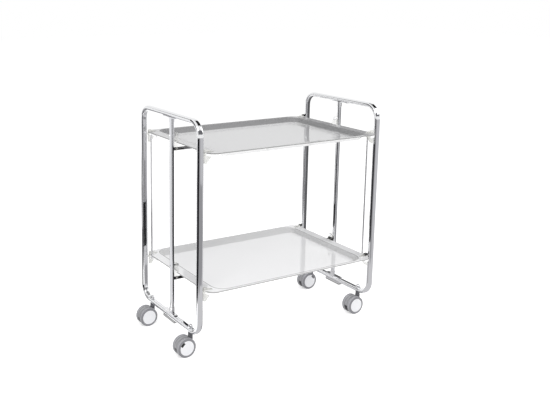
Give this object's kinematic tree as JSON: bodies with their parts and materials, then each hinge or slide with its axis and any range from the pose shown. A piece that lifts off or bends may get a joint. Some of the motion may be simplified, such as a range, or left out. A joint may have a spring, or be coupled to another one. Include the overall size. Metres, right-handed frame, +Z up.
{
  "type": "folding serving trolley",
  "caption": "Folding serving trolley: shallow translucent trays tip together on centre posts between bent chrome tube loops with twin-wheel casters.",
  "frame": {"origin": "on the floor, at the middle of the bounding box at rest", "axes": "+X along the trays to the right, +Y from the front to the rear, +Z up"},
  "size_m": [0.7196, 0.42, 0.726],
  "materials": {
    "chrome": "polished",
    "tray_plastic": "gloss, translucent",
    "clear_plastic": "gloss, translucent",
    "tyre": "matte",
    "hub_white": "satin",
    "hood_grey": "satin",
    "stem_dark": "satin",
    "axle_steel": "turned"
  },
  "bodies": {
    "frame": {"cap_nuts": "chrome", "front_left_stem": "stem_dark", "front_right_stem": "stem_dark", "left_bottom_saddle": "chrome", "left_loop": "chrome", "left_post": "chrome", "left_top_saddle": "chrome", "pivot_pins": "chrome", "rear_left_stem": "stem_dark", "rear_right_stem": "stem_dark", "right_bottom_saddle": "chrome", "right_loop": "chrome", "right_post": "chrome", "right_top_saddle": "chrome"},
    "top_tray": {"top_tray": "tray_plastic", "top_tray_front_left_clip": "clear_plastic", "top_tray_front_right_clip": "clear_plastic", "top_tray_left_arm": "chrome", "top_tray_left_lug": "clear_plastic", "top_tray_rear_left_clip": "clear_plastic", "top_tray_rear_right_clip": "clear_plastic", "top_tray_right_arm": "chrome", "top_tray_right_lug": "clear_plastic"},
    "lower_tray": {"lower_tray": "tray_plastic", "lower_tray_front_left_clip": "clear_plastic", "lower_tray_front_right_clip": "clear_plastic", "lower_tray_left_arm": "chrome", "lower_tray_left_lug": "clear_plastic", "lower_tray_rear_left_clip": "clear_plastic", "lower_tray_rear_right_clip": "clear_plastic", "lower_tray_right_arm": "chrome", "lower_tray_right_lug": "clear_plastic"},
    "left_tie_rod": {"left_tie_rod": "chrome"},
    "right_tie_rod": {"right_tie_rod": "chrome"},
    "front_left_caster": {"front_left_hood": "hood_grey", "front_left_axle": "axle_steel"},
    "front_left_front_wheel": {"front_left_front_hub": "hub_white", "front_left_front_tyre": "tyre"},
    "front_left_rear_wheel": {"front_left_rear_hub": "hub_white", "front_left_rear_tyre": "tyre"},
    "rear_left_caster": {"rear_left_hood": "hood_grey", "rear_left_axle": "axle_steel"},
    "rear_left_front_wheel": {"rear_left_front_hub": "hub_white", "rear_left_front_tyre": "tyre"},
    "rear_left_rear_wheel": {"rear_left_rear_hub": "hub_white", "rear_left_rear_tyre": "tyre"},
    "front_right_caster": {"front_right_hood": "hood_grey", "front_right_axle": "axle_steel"},
    "front_right_front_wheel": {"front_right_front_hub": "hub_white", "front_right_front_tyre": "tyre"},
    "front_right_rear_wheel": {"front_right_rear_hub": "hub_white", "front_right_rear_tyre": "tyre"},
    "rear_right_caster": {"rear_right_hood": "hood_grey", "rear_right_axle": "axle_steel"},
    "rear_right_front_wheel": {"rear_right_front_hub": "hub_white", "rear_right_front_tyre": "tyre"},
    "rear_right_rear_wheel": {"rear_right_rear_hub": "hub_white", "rear_right_rear_tyre": "tyre"}
  },
  "joints": [
    {"name": "top_tray_tip", "type": "hinge", "parent": "frame", "child": "top_tray", "pos_m": [0.02075, 0, 0.654], "axis": [-1, 0, 0], "range_deg": [0, 75]},
    {"name": "lower_tray_tip", "type": "hinge", "parent": "frame", "child": "lower_tray", "pos_m": [0.02075, 0, 0.24], "axis": [-1, 0, 0], "range_deg": [0, 75]},
    {"name": "left_tie_rod_pivot", "type": "hinge", "parent": "top_tray", "child": "left_tie_rod", "pos_m": [-0.29495, 0.155, 0.6275], "axis": [1, 0, 0], "range_deg": [0, 75]},
    {"name": "right_tie_rod_pivot", "type": "hinge", "parent": "top_tray", "child": "right_tie_rod", "pos_m": [0.33645, -0.155, 0.6275], "axis": [1, 0, 0], "range_deg": [0, 75]},
    {"name": "front_left_swivel", "type": "hinge", "parent": "frame", "child": "front_left_caster", "pos_m": [-0.30825, -0.127, 0.05], "axis": [0, 0, 1], "continuous": true},
    {"name": "front_left_front_roll", "type": "hinge", "parent": "front_left_caster", "child": "front_left_front_wheel", "pos_m": [-0.32925, -0.127, 0.0305], "axis": [0, 1, 0], "continuous": true},
    {"name": "front_left_rear_roll", "type": "hinge", "parent": "front_left_caster", "child": "front_left_rear_wheel", "pos_m": [-0.32925, -0.127, 0.0305], "axis": [0, 1, 0], "continuous": true},
    {"name": "rear_left_swivel", "type": "hinge", "parent": "frame", "child": "rear_left_caster", "pos_m": [-0.30825, 0.127, 0.05], "axis": [0, 0, 1], "continuous": true},
    {"name": "rear_left_front_roll", "type": "hinge", "parent": "rear_left_caster", "child": "rear_left_front_wheel", "pos_m": [-0.32925, 0.127, 0.0305], "axis": [0, 1, 0], "continuous": true},
    {"name": "rear_left_rear_roll", "type": "hinge", "parent": "rear_left_caster", "child": "rear_left_rear_wheel", "pos_m": [-0.32925, 0.127, 0.0305], "axis": [0, 1, 0], "continuous": true},
    {"name": "front_right_swivel", "type": "hinge", "parent": "frame", "child": "front_right_caster", "pos_m": [0.34975, -0.127, 0.05], "axis": [0, 0, 1], "continuous": true},
    {"name": "front_right_front_roll", "type": "hinge", "parent": "front_right_caster", "child": "front_right_front_wheel", "pos_m": [0.32875, -0.127, 0.0305], "axis": [0, 1, 0], "continuous": true},
    {"name": "front_right_rear_roll", "type": "hinge", "parent": "front_right_caster", "child": "front_right_rear_wheel", "pos_m": [0.32875, -0.127, 0.0305], "axis": [0, 1, 0], "continuous": true},
    {"name": "rear_right_swivel", "type": "hinge", "parent": "frame", "child": "rear_right_caster", "pos_m": [0.34975, 0.127, 0.05], "axis": [0, 0, 1], "continuous": true},
    {"name": "rear_right_front_roll", "type": "hinge", "parent": "rear_right_caster", "child": "rear_right_front_wheel", "pos_m": [0.32875, 0.127, 0.0305], "axis": [0, 1, 0], "continuous": true},
    {"name": "rear_right_rear_roll", "type": "hinge", "parent": "rear_right_caster", "child": "rear_right_rear_wheel", "pos_m": [0.32875, 0.127, 0.0305], "axis": [0, 1, 0], "continuous": true}
  ],
  "couplings": [
    {"joint": "lower_tray_tip", "follows": "top_tray_tip", "ratio": 1},
    {"joint": "left_tie_rod_pivot", "follows": "top_tray_tip", "ratio": 1},
    {"joint": "right_tie_rod_pivot", "follows": "top_tray_tip", "ratio": 1}
  ]
}
